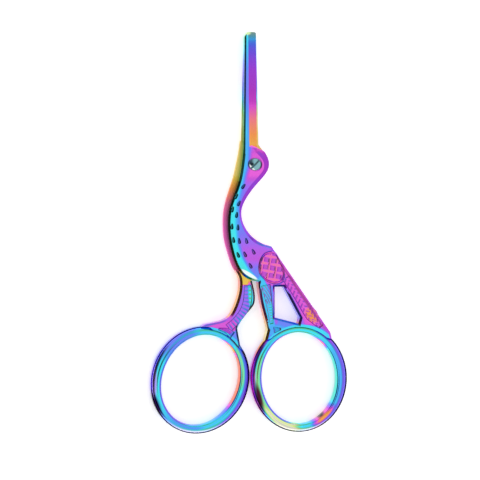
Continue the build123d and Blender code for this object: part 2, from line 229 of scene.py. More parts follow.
def crisp(piece):
    """Smooth shading, but an edge stays crisp where it turns more than the sharp angle or where one of
    its two faces is level and the other is not, so that a flat face shades flat right up to its edge."""
    mesh = piece.data
    mesh.shade_smooth()
    mesh.set_sharp_from_angle(angle=math.radians(SHARP_ANGLE))
    normals = np.zeros(len(mesh.polygons) * 3)
    mesh.polygons.foreach_get("normal", normals)
    level = (np.abs(normals.reshape(-1, 3)[:, 2]) > LEVEL_NORMAL).astype(int)
    sizes = np.zeros(len(mesh.polygons), int)
    mesh.polygons.foreach_get("loop_total", sizes)
    edges = np.zeros(len(mesh.loops), int)
    mesh.loops.foreach_get("edge_index", edges)
    levels = np.bincount(edges, weights=np.repeat(level, sizes), minlength=len(mesh.edges))
    sharp = np.zeros(len(mesh.edges), bool)
    mesh.edges.foreach_get("use_edge_sharp", sharp)
    mesh.edges.foreach_set("use_edge_sharp", sharp | (np.round(levels) == 1))


# Bows: middle, and tilt to the right in degrees
BOWS = {"leg_half": ((-15.66, -61.3), 22.3), "stork_half": ((13.06, -61.3), -4.9)}
BOW_STEPS = 160
HOLE_HALF_WIDTH = 10.8
HOLE_HALF_LENGTH = 13.05
RING_STEPS = 56
RING_SIDE_WIDTH = 3.3
RING_END_WIDTH = 2.45
RING_HALF_HEIGHT = 2.15
RING_CROWN = 2.1            # exponent of the ring's section: 2 is an ellipse, more is squarer
RING_CREST = 0.32           # how far the crest lies towards the hole, as a share of the half width

# What is cut away for a new ring, in shares of its half width from its middle line
ROOM_INSIDE = -1.2
ROOM_OUTSIDE = 0.98
ROOM_OVERRUN = 1.0          # above and below the scissors, mm
WEB_ANGLES = {"leg_half": (-12.0, 35.0), "stork_half": (-37.0, 46.0)}    # degrees from a bow's top
WEB_FADE = 8.0              # degrees
WEB_OVERLAP = 0.55          # how much less is cut away between those angles


def around_bow(node, aside, heights):
    """Points round a bow: at each angle, the profile's distances outwards from the middle of the ring's
    width and its heights. The ring's middle line is an ellipse, and its half width follows the angle
    from the side's to the end's."""
    middle, tilt = BOWS[node]
    angle = np.linspace(0, 2 * np.pi, BOW_STEPS, endpoint=False)[:, None]
    half_width = (RING_SIDE_WIDTH * np.sin(angle) ** 2 + RING_END_WIDTH * np.cos(angle) ** 2) / 2
    wide = HOLE_HALF_WIDTH + RING_SIDE_WIDTH / 2
    long = HOLE_HALF_LENGTH + RING_END_WIDTH / 2
    out = np.stack([np.sin(angle) / wide, np.cos(angle) / long], axis=-1)
    out /= np.linalg.norm(out, axis=-1, keepdims=True)
    path = np.stack([wide * np.sin(angle), long * np.cos(angle)], axis=-1)
    flat = path + out * (half_width * aside)[..., None]
    turn = math.radians(-tilt)
    x = flat[..., 0] * math.cos(turn) - flat[..., 1] * math.sin(turn) + middle[0]
    y = flat[..., 0] * math.sin(turn) + flat[..., 1] * math.cos(turn) + middle[1]
    return np.stack([x, y, np.broadcast_to(heights, x.shape)], axis=-1)


def bow_ring(node):
    """A finger bow: the section |a| to the crown's power plus |h| to the same is 1, with a moved towards
    the hole by the crest's share of 1 - a * a, carried round."""
    turn = np.linspace(0, 2 * np.pi, RING_STEPS, endpoint=False)
    power = 2 / RING_CROWN
    aside = np.sign(np.cos(turn)) * np.abs(np.cos(turn)) ** power
    aside = aside - RING_CREST * (1 - aside ** 2)
    heights = TOP / 2 + RING_HALF_HEIGHT * np.sign(np.sin(turn)) * np.abs(np.sin(turn)) ** power
    return shell("ring", around_bow(node, aside, heights), closed_path=True)


def bow_room(node):
    """The room that the solid's ring takes, and a little more on the hole's side. Where the web or the
    tail joins the bow, it stops nearer to the crest, so that only a shallow groove is left there."""
    first, last = WEB_ANGLES[node]
    angle = np.linspace(0, 360, BOW_STEPS, endpoint=False)[:, None]
    angle = np.where(angle > 180, angle - 360, angle)
    joined = step(angle, first, WEB_FADE) * (1 - step(angle, last, WEB_FADE))
    outer = ROOM_OUTSIDE - WEB_OVERLAP * joined
    inner = np.full_like(outer, ROOM_INSIDE)
    aside = np.concatenate([inner, outer, outer, inner], axis=1)
    heights = np.repeat([-ROOM_OVERRUN, TOP + ROOM_OVERRUN], 2)
    return shell("room", around_bow(node, aside, heights), closed_path=True)


# Carving. It lies in pockets that are cut first; depths are under the face.
POCKET = 0.3
POCKET_OVERRUN = 0.5        # how far a pocket's cutter stands above the face
POCKET_COLUMNS = 12
BLOCK_BOTTOM = 0.9          # underside of a carved block, inside the steel
BLOCK_SPREAD = 0.97         # of its pocket's width
WING_SPREAD = 0.985
LAND = 0.05                 # highest parts
LINE_DEPTH = 0.12           # below the land
END_FADE = 0.2              # share across over which a line runs out
BORDER_RIM = 0.14           # share across
BORDER_END = 0.5
BORDER_FALL = 0.2

# Left leg's rungs
RUNG_PITCH = 1.07
RUNG_HALF = 0.3             # of the pitch
RUNG_DEPTH = 0.08           # doubled towards the right
RUNG_DEEPENS = 0.9          # share across over which it is doubled
RUNG_END = 0.86             # share across

# Right leg's feather lines, then its rungs
FEATHER_RUN = 3.0           # along the leg, for a half width across
FEATHER_PITCH = 0.62        # share across
FEATHER_HALF = 0.24
FEATHERS_LENGTH = 5.6
FEATHERS_FADE = 1.0
SHORT_RUNG_PITCH = 0.78
SHORT_RUNG_HALF = 0.28
SHORT_RUNG_START = (-0.25, 0.3)     # share across, and the width over which they start
RIGHT_LEG_END = 0.84

# Tail's feathers
TAIL_ROWS = 2               # doubled near the bow
TAIL_DOUBLES = (0.62, 0.3)  # share of the length where they double, and over what share
TAIL_PITCH = 1.45
TAIL_LEANS = (-0.8, 0.9)    # of the odd and the even rows
TAIL_SHIFT = 0.37           # of the pitch, from row to row
TAIL_STROKE_HALF = 0.24     # of the pitch
TAIL_STROKE_END = (0.38, 0.12)      # share of a row's width, and the width over which it ends

# Lines on the webs above the bows
WEB_LAND = 0.06
WEB_LINE_DEPTH = 0.1
WEB_LINE_COUNT = 5
WEB_LINE_HALF = 0.26        # of their pitch


def border(across, along, length):
    """Lets a carved strip fall away under its pocket's floor at its sides and ends."""
    ends = np.minimum(along, length - along)
    return BORDER_FALL * (2 - step(1 - np.abs(across), BORDER_RIM / 2, BORDER_RIM)
                          - step(ends, BORDER_END / 2, BORDER_END))


def left_rungs(along, across, length):
    """Rungs square to the left leg: round valleys at the rung pitch, deeper on the right side."""
    phase = (along / RUNG_PITCH) % 1 - 0.5
    deep = RUNG_DEPTH * (1 + step(across, 0.0, RUNG_DEEPENS))
    rungs = deep * groove_at(phase, RUNG_HALF) * step(RUNG_END - np.abs(across), 0, END_FADE)
    return LAND + rungs + border(across, along, length)


def right_rungs(along, across, length):
    """Slanted feather lines at the top of the right leg, then short rungs on its right side."""
    slant = ((across - along / FEATHER_RUN) / FEATHER_PITCH) % 1 - 0.5
    rung = (along / SHORT_RUNG_PITCH) % 1 - 0.5
    lower = step(along, FEATHERS_LENGTH, FEATHERS_FADE)
    lines = (groove_at(slant, FEATHER_HALF) * (1 - lower)
             + groove_at(rung, SHORT_RUNG_HALF) * lower * step(across, *SHORT_RUNG_START))
    lines *= step(RIGHT_LEG_END - np.abs(across), 0, END_FADE)
    return LAND + LINE_DEPTH * lines + border(across, along, length)


def tail_feathers(along, across, length):
    """Rows of short slanted strokes, leaning to alternate sides from row to row."""
    doubles, doubles_over = TAIL_DOUBLES
    rows = TAIL_ROWS * (1 + step(along, length * doubles, length * doubles_over))
    row = (across + 1) * rows / 2
    inside = row % 1 - 0.5
    lean = np.where(np.floor(row) % 2 > 0, *TAIL_LEANS)
    phase = ((along + lean * inside) / TAIL_PITCH + TAIL_SHIFT * np.floor(row)) % 1 - 0.5
    strokes = groove_at(phase, TAIL_STROKE_HALF) * (1 - step(np.abs(inside), *TAIL_STROKE_END))
    return LAND + LINE_DEPTH * strokes + border(across, along, length)


def web_lines(along, across, length):
    """A few lines that run out over the web above a bow."""
    phase = ((across + 1) * WEB_LINE_COUNT / 2) % 1 - 0.5
    return WEB_LAND + WEB_LINE_DEPTH * groove_at(phase, WEB_LINE_HALF) + border(across, along, length)


def above_face(along, across, length):
    """The upper side of a pocket's cutter."""
    return np.full_like(across, -POCKET_OVERRUN)


# Strips of carving: the middle line's points, the half widths along it, the relief, rows and columns
STRIPS = {
    "stork_half": [
        ([(8.9, -32.3), (12.0, -36.6), (15.0, -41.1), (17.5, -44.4), (19.4, -46.6)],
         [1.2, 1.3, 1.55, 1.9, 0.8], tail_feathers, 220, 44),
        ([(3.1, -34.3), (3.85, -38.1), (4.4, -42.0), (4.85, -45.6)],
         [1.4, 1.05, 0.75, 0.5], right_rungs, 150, 24),
        ([(5.4, -47.3), (7.6, -47.0)], [1.0, 0.35], web_lines, 30, 24),
    ],
    "leg_half": [
        ([(-2.15, -34.3), (-2.05, -37.4), (-2.5, -40.1), (-4.0, -42.8), (-6.2, -45.2), (-7.7, -46.5)],
         [1.0, 1.25, 1.3, 1.15, 1.1, 1.3], left_rungs, 190, 22),
        ([(-10.6, -46.7), (-8.2, -47.3), (-6.4, -48.6)], [0.35, 0.8, 1.1], web_lines, 40, 24),
    ],
}


def strip(path_points, half_widths, depth_at, rows, columns, bottom, spread=1.0):
    """A closed strip along a plan path, from -1 on the right of its way to 1 on the left. Its upper side
    lies under the face by depth_at(millimetres along, share across, length), its lower side by bottom."""
    path, length = smooth_path(path_points, rows)
    half = np.interp(np.linspace(0, 1, rows), np.linspace(0, 1, len(half_widths)), half_widths) * spread
    across = np.concatenate([np.linspace(-1, 1, columns), np.linspace(1, -1, columns)])
    flat = path[:, None] - rightward(path)[:, None] * (half[:, None] * across)[..., None]
    along, across = np.broadcast_arrays(np.linspace(0, length, rows)[:, None], across)
    upper = np.arange(2 * columns) < columns
    heights = TOP - np.where(upper, depth_at(along, across, length), bottom)
    return np.concatenate([flat, heights[..., None]], axis=-1)


# Wing: an oval with a raised rim round a weave
WING_MIDDLE = (5.15, -29.6)
WING_OVAL = [(5.04, -24.5), (2.87, -25.0), (1.5, -26.6), (0.85, -28.9), (1.0, -30.7), (1.7, -32.1),
             (2.95, -33.2), (4.7, -34.1), (6.6, -34.3), (8.1, -33.7), (8.75, -31.8), (8.4, -29.6),
             (7.4, -27.2), (6.3, -25.3)]
WING_STEPS = 150
WING_RINGS_ABOVE = 44
WING_RINGS_BELOW = 6
WING_FIRST_RING = 0.02      # share of the way from the middle to the edge, as all that follow
WING_LAST_RING = 0.05
RIM_MIDDLE = 0.915
RIM_HALF = 0.05
RIM_FLOOR = 0.3             # depth beside the rim, mm
RIM_RISE = 0.26
EDGE_FALL = 0.1             # how much deeper the very edge lies, mm
EDGE_START = (0.985, 0.03)  # where, and over what width
WEAVE_EDGE = (0.85, 0.05)   # where the weave ends, and over what width
WEAVE_PITCH = 2.1
WEAVE_TURN = -10            # degrees
WEAVE_BAND = 0.24           # share of the pitch
WEAVE_FLOOR = 0.27
WEAVE_RISE = 0.21
WEAVE_WAVE = 0.04           # how much higher a band is where it passes over


def wing_weave(x, y):
    """Two sets of round bands, square to each other, that pass over and under in turn: one set is high
    where the product of two slow waves is positive, the other where it is negative."""
    turn = math.radians(WEAVE_TURN)
    p = (x * math.cos(turn) + y * math.sin(turn)) / WEAVE_PITCH
    q = (y * math.cos(turn) - x * math.sin(turn)) / WEAVE_PITCH
    first, second = (groove_at(way % 1 - 0.5, WEAVE_BAND) ** 0.5 for way in (q, p))
    over = WEAVE_WAVE * np.sin(np.pi * p) * np.sin(np.pi * q)
    return WEAVE_FLOOR - np.maximum(first * (WEAVE_RISE + over), second * (WEAVE_RISE - over))


def wing_relief(around, x, y):
    """How deep the wing lies at a share of the way from its middle to its edge and at a place from its
    middle: the weave, then the rim, then the fall to the edge."""
    inside = 1 - step(around, *WEAVE_EDGE)
    rim = RIM_FLOOR - RIM_RISE * groove_at(around - RIM_MIDDLE, RIM_HALF)
    return inside * wing_weave(x, y) + (1 - inside) * rim + EDGE_FALL * step(around, *EDGE_START)


def wing_panel(depth_at, bottom, spread=1.0):
    """The wing's oval: rings from the middle out to the oval's edge, and back underneath it. The upper
    rings lie under the face by depth_at(share of the way out, x, y), the lower ones by bottom."""
    edge = closed_curve(WING_OVAL, WING_STEPS)
    share = np.concatenate([np.linspace(WING_FIRST_RING, 1, WING_RINGS_ABOVE),
                            np.linspace(1, WING_LAST_RING, WING_RINGS_BELOW)])[:, None]
    aside = (edge - WING_MIDDLE) * share[..., None] * spread
    upper = np.arange(len(share))[:, None] < WING_RINGS_ABOVE
    heights = TOP - np.where(upper, depth_at(share, aside[..., 0], aside[..., 1]), bottom)
    return np.concatenate([aside + WING_MIDDLE, heights[..., None]], axis=-1)


# Neck dimples: place, and turn in degrees
DIMPLES = [(-3.35, -6.23, 52), (-5.43, -9.07, 58), (-4.66, -11.06, 64), (-6.5, -12.76, 72),
           (-5.31, -14.32, 80), (-6.66, -17.59, 88), (-4.94, -17.87, 90), (-6.2, -21.42, 98),
           (-4.56, -21.71, 100), (-2.48, -21.71, 106), (-4.9, -25.68, 112), (-2.91, -25.54, 114),
           (-0.45, -24.83, 118), (-1.32, -28.81, 118)]
DIMPLE_LENGTH = 1.75
DIMPLE_WIDTH = 0.85
DIMPLE_DEPTH = 0.62
DIMPLE_TAPER = 0.3
SEED_ROWS = 9
SEED_SIDES = 10
SEED_END = 0.06             # radians that each end's fan takes
SEED_FULLNESS = 0.6


def dimple_seeds(face):
    """What is cut out for the dimples: seeds with their middles at a face's height. Along a seed the
    radius goes as the sine to the power of its fullness, and the taper thins it towards one end."""
    along = np.linspace(SEED_END, np.pi - SEED_END, SEED_ROWS)[:, None]
    around = np.linspace(0, 2 * np.pi, SEED_SIDES, endpoint=False)
    radius = np.sin(along) ** SEED_FULLNESS * (1 + DIMPLE_TAPER * np.cos(along))
    x = -np.cos(along) * DIMPLE_LENGTH / 2
    y = radius * np.cos(around) * DIMPLE_WIDTH / 2
    z = face + radius * np.sin(around) * DIMPLE_DEPTH
    right, up, turn = np.array(DIMPLES).T[:, :, None, None]
    turn = np.radians(turn)
    grid = np.broadcast_arrays(x * np.cos(turn) - y * np.sin(turn) + right,
                               x * np.sin(turn) + y * np.cos(turn) + up, z)
    return shell("dimples", np.stack(grid, axis=-1))


# The head's wide bevel: the line where it leaves the face, and how steeply it drops at the line's points
HEAD_LINE = [(-2.14, 5.85), (-0.95, 4.54), (0.23, 3.38), (1.39, 2.24), (2.3, 1.02), (2.62, -0.11),
             (2.4, -1.53), (1.39, -2.95), (0.23, -4.23), (-0.93, -5.5), (-2.23, -7.2), (-3.45, -9.2),
             (-4.3, -11.2), (-4.54, -12.9), (-4.42, -14.9), (-3.98, -16.9), (-3.1, -18.9), (-1.79, -20.7),
             (-0.06, -22.3), (1.96, -23.5), (3.4, -24.0)]
HEAD_SLOPES = [0.02, 0.3, 0.5, 0.5, 0.5, 0.5, 0.5, 0.5, 0.55, 0.6, 0.65, 0.7, 0.75, 0.8, 0.85, 0.9, 0.9,
               0.9, 0.85, 0.6, 0.02]
HEAD_STEPS = 160
BEVEL_INSIDE = -0.3         # the cutter's reach from the line
BEVEL_OUTSIDE = 2.1
BEVEL_HEIGHT = 3.0


def head_bevel():
    """What is cut off the head's edge: a wedge along the line where the bevel leaves the face."""
    path, _ = smooth_path(HEAD_LINE, HEAD_STEPS)
    shares = np.linspace(0, 1, len(HEAD_SLOPES))
    slope = np.interp(np.linspace(0, 1, HEAD_STEPS), shares, HEAD_SLOPES)[:, None]
    aside = np.array([BEVEL_INSIDE, BEVEL_OUTSIDE, BEVEL_OUTSIDE, BEVEL_INSIDE])
    flat = path[:, None] - rightward(path)[:, None] * aside[:, None]
    heights = TOP - slope * aside + np.repeat([0.0, BEVEL_HEIGHT], 2)
    return shell("bevel", np.concatenate([flat, heights[..., None]], axis=-1))


def dressed(node):
    """A half of the scissors with its bow rounded and its carving cut; the stork's half also gets its wing
    and its head bevelled.
    """
    piece = plain_copy(node)
    combine(piece, bow_room(node), "DIFFERENCE")
    combine(piece, bow_ring(node), "UNION")
    for path, widths, relief, rows, columns in STRIPS[node]:
        carve(piece, strip(path, widths, above_face, rows, POCKET_COLUMNS, POCKET),
              strip(path, widths, relief, rows, columns, BLOCK_BOTTOM, BLOCK_SPREAD))
    if node == "stork_half":
        carve(piece, wing_panel(above_face, POCKET), wing_panel(wing_relief, BLOCK_BOTTOM, WING_SPREAD))
        combine(piece, head_bevel(), "DIFFERENCE")
    combine(piece, dimple_seeds(TOP if node == "stork_half" else 0.0), "DIFFERENCE")
    return piece


def add_camera():
    """A long lens on the line from the target that leans left by one angle and to the beak by another."""
    data = bpy.data.cameras.new("camera")
    data.lens = CAMERA_LENS
    data.sensor_width = CAMERA_SENSOR
    data.clip_start = CAMERA_NEAR * MM
    data.clip_end = CAMERA_FAR * MM
    camera = bpy.data.objects.new("camera", data)
    bpy.context.scene.collection.objects.link(camera)
    left, ahead = math.radians(CAMERA_LEAN_LEFT), math.radians(CAMERA_LEAN_TO_BEAK)
    away = np.array([-math.sin(left), math.cos(left) * math.sin(ahead), math.cos(left) * math.cos(ahead)])
    right = np.array([math.cos(left), 0.0, math.sin(left)])
    right -= away * right.dot(away)
    right /= np.linalg.norm(right)
    up = np.cross(away, right)
    place = np.array(CAMERA_TARGET) + away * VIEW_WIDTH * CAMERA_LENS / CAMERA_SENSOR
    pose = np.eye(4)
    pose[:3, 0], pose[:3, 1], pose[:3, 2], pose[:3, 3] = right, up, away, place * MM
    camera.matrix_world = pose.T
    bpy.context.scene.camera = camera


def fill_ramp(ramp, stops):
    """Gives a colour ramp its stops: place and colour, in rising order."""
    while len(ramp.elements) < len(stops):
        ramp.elements.new(0.5)
    for element, (place, colour) in zip(ramp.elements, stops):
        element.position = place
        element.color = colour


def add(tree, kind, settings=None, *values, **inputs):
    """Adds a node with its settings and links, and gives its outputs. The values go to its inputs in
    turn, and the others by name, or by number as in_6. Each is a value or a socket to link from."""
    node = tree.nodes.new(kind)
    for name, value in (settings or {}).items():
        if name == "stops":
            fill_ramp(node.color_ramp, value)
        else:
            setattr(node, name, value)
    named = [(int(name[3:]) if name.startswith("in_") else name.replace("_", " "), value)
             for name, value in inputs.items()]
    for key, value in [*enumerate(values), *named]:
        if isinstance(value, bpy.types.NodeSocket):
            tree.links.new(value, node.inputs[key])
        else:
            node.inputs[key].default_value = value
    return node.outputs


# Settings that many nodes share
SMOOTH = {"interpolation_type": "SMOOTHSTEP"}
NUMBERS = {"data_type": "FLOAT"}
COLOURS = {"data_type": "RGBA"}
TIMES = {"operation": "MULTIPLY"}
SCALED_SUM = {"operation": "MULTIPLY_ADD"}
LESS = {"operation": "LESS_THAN"}
FALLING = (1.0, 0.0)        # what a range goes from and to


def within_all(tree, limits):
    """How far a place is within all of some limits: the product of a smooth step for each. A limit is a
    value, where its step begins and ends, and what it goes from and to if that isn't from 0 to 1."""
    share = 1.0
    for limit in limits:
        part = add(tree, "ShaderNodeMapRange", SMOOTH, *limit)[0]
        share = add(tree, "ShaderNodeMath", TIMES, share, part)[0]
    return share


def start_material(name):
    """A material with an empty node tree, and the tree."""
    material = bpy.data.materials.new(name)
    material.use_nodes = True
    material.node_tree.nodes.clear()
    return material, material.node_tree


def place_in_mm(tree, texture):
    """The place on the piece, in millimetres."""
    return add(tree, "ShaderNodeVectorMath", {"operation": "SCALE"}, texture["Object"], Scale=1 / MM)[0]


# The studio is white but for a dark spot where the camera hangs and two dark panels low on the left: way
# to it, degrees from its middle to its even part's edge and to its outer edge, how much light is left
DARK_SPOTS = [
    ((-0.24, 0.05, 0.97), 6, 15, 0.12),
    ((-0.97, 0.2, 0.16), 22, 38, 0.05),
    ((-0.86, -0.5, 0.12), 16, 26, 0.05),
]


def add_world():
    """White all round, darkened towards each dark spot; the camera itself sees plain white."""
    world = bpy.data.worlds.new("studio")
    bpy.context.scene.world = world
    world.use_nodes = True
    tree = world.node_tree
    tree.nodes.clear()
    way = add(tree, "ShaderNodeTexCoord")["Generated"]
    shade = 1.0
    for spot, inner, outer, left in DARK_SPOTS:
        spot = tuple(np.array(spot) / np.linalg.norm(spot))
        near = add(tree, "ShaderNodeVectorMath", {"operation": "DOT_PRODUCT"}, way, spot)["Value"]
        part = add(tree, "ShaderNodeMapRange", SMOOTH, near, math.cos(math.radians(outer)),
                   math.cos(math.radians(inner)), 1.0, left)[0]
        shade = add(tree, "ShaderNodeMath", {"operation": "MINIMUM"}, shade, part)[0]
    seen = add(tree, "ShaderNodeLightPath")["Is Camera Ray"]
    strength = add(tree, "ShaderNodeMath", {"operation": "MAXIMUM"}, shade, seen)[0]
    background = add(tree, "ShaderNodeBackground", None, linear("#FFFFFF"), strength)[0]
    add(tree, "ShaderNodeOutputWorld", None, background)


PAPER = "#FCFCFC"
PAPER_LIFT = 0.42           # what the paper lacks of full white where the camera sees it
PAPER_HALF = 3000.0
PAPER_DROP = 0.02           # below the scissors


def add_floor():
    """A sheet under the scissors of white paper. Smooth uncoated paper is pressed from bleached pulp: it
    scatters light evenly and has no gloss, so the eye gets plain white and a soft shadow."""
    material, tree = start_material("white_paper")
    path = add(tree, "ShaderNodeLightPath")
    seen = add(tree, "ShaderNodeMath", {"operation": "MAXIMUM"}, path["Is Camera Ray"],
               path["Is Glossy Ray"])[0]
    lift = add(tree, "ShaderNodeMath", TIMES, seen, PAPER_LIFT)[0]
    glow = add(tree, "ShaderNodeEmission", Strength=lift)[0]
    sheet = add(tree, "ShaderNodeBsdfDiffuse", None, linear(PAPER))[0]
    add(tree, "ShaderNodeOutputMaterial", None, add(tree, "ShaderNodeAddShader", None, sheet, glow)[0])
    corners = np.array([(-1, -1, 0), (1, -1, 0), (1, 1, 0), (-1, 1, 0)]) * PAPER_HALF - (0, 0, PAPER_DROP)
    floor = new_object("floor", corners, [(0, 1, 2, 3)])
    floor.data.materials.append(material)


# Rainbow coating. Titanium nitride is laid on the polished steel in a vacuum; light that meets in the film
# brings out a colour that depends on its thickness. The colours come round again after each cycle, so
# thickness here is a number between minus one cycle and one cycle.
FILM_CYCLE = 1.12
FILM_COLOURS = [(0.0, "#F4ECB0"), (0.08, "#E8C452"), (0.16, "#F29A50"), (0.24, "#EE7C8C"),
                (0.32, "#F066DC"), (0.40, "#CC58D6"), (0.48, "#AC68F0"), (0.56, "#8278F6"),
                (0.64, "#5C94F8"), (0.72, "#4CBAF8"), (0.80, "#46E8F6"), (0.88, "#5CDEC0"),
                (0.96, "#90E49C"), (1.04, "#D4E48A"), (1.12, "#F6F8DC")]
REACH_LOW = -80.0           # stretch of the Y axis over which thickness is given
REACH_HIGH = 40.0
PATCH_HEIGHT = 1e6          # a patch goes right through the metal

# Edge of the stork's face on the left, down the neck: Y and X
NECK_EDGE = [(-33, -0.8), (-30.1, -3.3), (-26.3, -5.2), (-22.5, -6.55), (-16.8, -7.1), (-11.1, -6.9),
             (-5.4, -5.0), (0, -3.27), (6, -3.1), (9, -3.4), (38, -2.7)]
NECK_SCALE = 10.0           # brings those X within a ramp's reach
NECK_BLEND = (0.7, 2.7)     # from that edge, where the left colour gives way to the right one

# Thickness down the rear half's edge beside the neck and on its blade: Y and thickness
REAR_STRIP = [(-30, 0.27), (-26, 0.29), (-18, 0.29), (-11, 0.26), (-7, 0.16), (-3, 0.06), (9, 0.05),
              (13, -0.02), (16, -0.14), (19, -0.32), (22, -0.50), (26, -0.62), (30, -0.42), (33, -0.28),
              (38, -0.20)]

# Each half's coat. Its face, the slopes on the right and the walls on the left have a thickness down the
# Y axis, and the stork's face another on its right: Y and thickness. Patches of another thickness lie
# over the face and the walls: middle, half lengths, turn in degrees, thickness, share of even middle.
# Patches of painted light and shade lie over all, with a colour in place of the thickness.
STORK_COAT = {
    "face": [(-40, 0.80), (-33, 0.86), (-27, 0.81), (-20, 0.82), (-9, 0.80), (-5, 0.77), (-2, 0.72),
             (2, 0.71), (6, 0.70), (9, 0.74), (14, 0.68), (20, 0.58), (26, 0.62), (32, 0.72), (38, 0.80)],
    "face_right": [(-40, 0.60), (-33, 0.60), (-30, 0.56), (-27, 0.43), (-24, 0.46), (-21, 0.54),
                   (-17, 0.62), (-12, 0.62), (-8, 0.55), (-5, 0.45), (-3, 0.34), (0, 0.34), (3, 0.37),
                   (6, 0.52), (9, 0.52), (20, 0.50), (30, 0.56), (38, 0.72)],
    "slope": [(-80, 0.58), (-52, 0.56), (-49, 0.42), (-46, 0.40), (-30, 0.37), (-25, 0.46), (-20, 0.50),
              (-12, 0.48), (-5, 0.46), (-2, 0.42), (3, 0.43), (5.5, 0.12), (7, 0.14), (11, 0.20),
              (15, 0.28), (18, 0.36), (22, 0.42), (27, 0.46), (30, 0.52), (33, 0.60), (34.5, 0.68),
              (36, 0.86), (38, 1.0)],
    "wall": [(-80, 0.30), (-56, 0.34), (-53, 0.22), (-50.5, 0.08), (-48, 0.0), (-46, 0.12), (-40, 0.22),
             (-34, 0.22), (-31, 1.12), (-27, 1.10), (-24, 0.94), (6, 0.92), (14, 0.88), (18, 0.66),
             (28, 0.60), (34, 0.84), (38, 0.95)],
    "face_patches": [
        ((2.2, -30.5), (2.6, 3.4), 30, 0.64, 0.2),
        ((5.6, -24.0), (5.0, 2.6), -35, 0.49, 0.4),
        ((5.2, -29.6), (4.7, 5.7), 14, 0.27, 0.75),
        ((14.4, -40.2), (12.2, 4.2), -54, 0.36, 0.8),
        ((16.6, -43.2), (3.6, 2.4), -54, 0.17, 0.3),
        ((11.5, -40.4), (0.9, 7.6), 27, 0.52, 0.6),
        ((3.3, -40.0), (1.9, 9.4), 12, 0.74, 0.8),
        ((6.0, -40.5), (0.9, 6.5), 2, 0.50, 0.7),
        ((6.4, -47.6), (4.0, 2.4), -8, 0.69, 0.5),
        ((13.06, -61.3), (14.2, 15.6), -5, 0.76, 0.985),
        ((1.4, -62.0), (5.0, 11.0), 6, 0.94, 0.5),
        ((6.5, -74.0), (9.0, 5.5), -30, 1.06, 0.5),
        ((24.6, -60.0), (5.0, 12.0), -4, 0.70, 0.5),
        ((21.0, -73.0), (6.0, 4.0), 40, 0.14, 0.3),
        ((14.0, -48.5), (9.0, 3.0), 0, 0.79, 0.5),
    ],
    "wall_patches": [
        ((23.0, -60.0), (4.5, 12.0), 0, 0.86, 0.6),
        ((10.5, -39.0), (3.0, 9.0), 33, 0.58, 0.6),
    ],
    # Painted light and shade on the stork's half: a painted highlight on the body's lower-left bevel, painted
    # shade along the tail's outer edge, a painted highlight at the beak's tip, a painted brighter streak on
    # the right bow's left flank and painted shade low on that bow's left and at its lower right
    "painted_light_and_shade": [
        ((-1.7, -31.3), (3.3, 0.62), -32, "#F4FFFC", 0.6),
        ((13.55, -37.2), (15.5, 0.6), -56, "#AC46A0", 0.5),
        ((-2.3, 37.3), (1.6, 0.9), 0, "#D6F2B4", 0.4),
        ((-0.7, -60.5), (1.1, 8.0), 0, "#F070E8", 0.5),
        ((1.3, -66.5), (1.1, 6.5), 15, "#4A1830", 0.3),
        ((19.3, -71.8), (1.7, 0.9), 40, "#2A2A30", 0.4),
    ],
}
LEG_COAT = {
    "face": [(-80, 0.74), (-54, 0.80), (-49, 0.62), (-46, 0.46), (-40, 0.50), (-34.6, 0.52),
             (-34.2, 0.08), (-31.5, 0.08)] + REAR_STRIP,
    "slope": [(-80, 0.50), (-50, 0.66), (-44, 0.80), (-40, 0.88), (-33, 0.98), (-31, 0.1), (38, 0.6)],
    "wall": [(-80, 0.62), (-60, 0.55), (-50, 0.56), (-48, 0.36), (-46, 0.09), (-42, 0.11), (-36, 0.13),
             (-33.5, 0.22), (-32, 0.12)] + REAR_STRIP,
    "face_patches": [
        ((-0.9, -39.0), (1.1, 6.5), 8, 0.80, 0.5),
        ((-4.6, -45.8), (4.2, 1.2), 45, 0.76, 0.5),
        ((-9.4, -46.6), (6.4, 2.6), 12, 0.37, 0.6),
        ((-15.66, -61.3), (14.2, 15.6), -22, 0.74, 0.985),
        ((-4.0, -57.5), (5.0, 10.0), -15, 0.93, 0.5),
        ((-20.0, -74.0), (8.0, 4.0), -35, 0.65, 0.4),
        ((-26.5, -62.0), (5.0, 9.0), 10, 0.79, 0.5),
        ((-22.0, -49.0), (9.0, 5.0), 40, 0.60, 0.4),
    ],
    "wall_patches": [
        ((-4.5, -61.0), (5.0, 11.0), -15, 0.20, 0.6),
        ((-7.0, -51.5), (4.5, 3.5), 0, 0.07, 0.4),
    ],
    # Painted light and shade on the leg's half: a painted brighter band on the left bow's outer flank and
    # painted shade low on its left
    "painted_light_and_shade": [
        ((-29.7, -59.5), (1.6, 9.5), 2, "#B49CFF", 0.6),
        ((-28.4, -68.5), (1.5, 6.0), 19, "#2A0850", 0.3),
    ],
}

# Ways of facing: the part of the normal between which a face turns into one
FACING_SLOPE = (0.15, 0.4)  # X
FACING_WALL = (-0.35, -0.8)
FACING_LOW_END = (-0.45, -0.85)     # Y

SLOPE_SHADE = "#D8A8E0"     # painted shade: the slopes on the right are darkened in their colour, since they see a greyer part of the room
SLOPE_SHADE_STOPS = [(-80, 0.6), (-52, 0.6), (-49, 1), (3, 1), (5, 0.15), (13, 0.15), (18, 1), (38, 1)]
LOW_END_PAINTED_HIGHLIGHT = "#FFF2F8"         # painted highlight: the bows' lowest ends, where they face down the Y axis, are painted all but white
LOW_END_HEIGHTS = (-54.0, -60.0)
LOW_END_SHARES = (0.0, 0.8)

# Carving: the depths between which it starts and is over, and what is too steep to be part of it
CARVED_START = (0.06, 0.17)
CARVED_OVER = (0.4, 0.6)
CARVED_STEEP = (0.2, 0.4)
CARVED_FILM = 0.13          # how much thicker the film is at the bottom of the carving
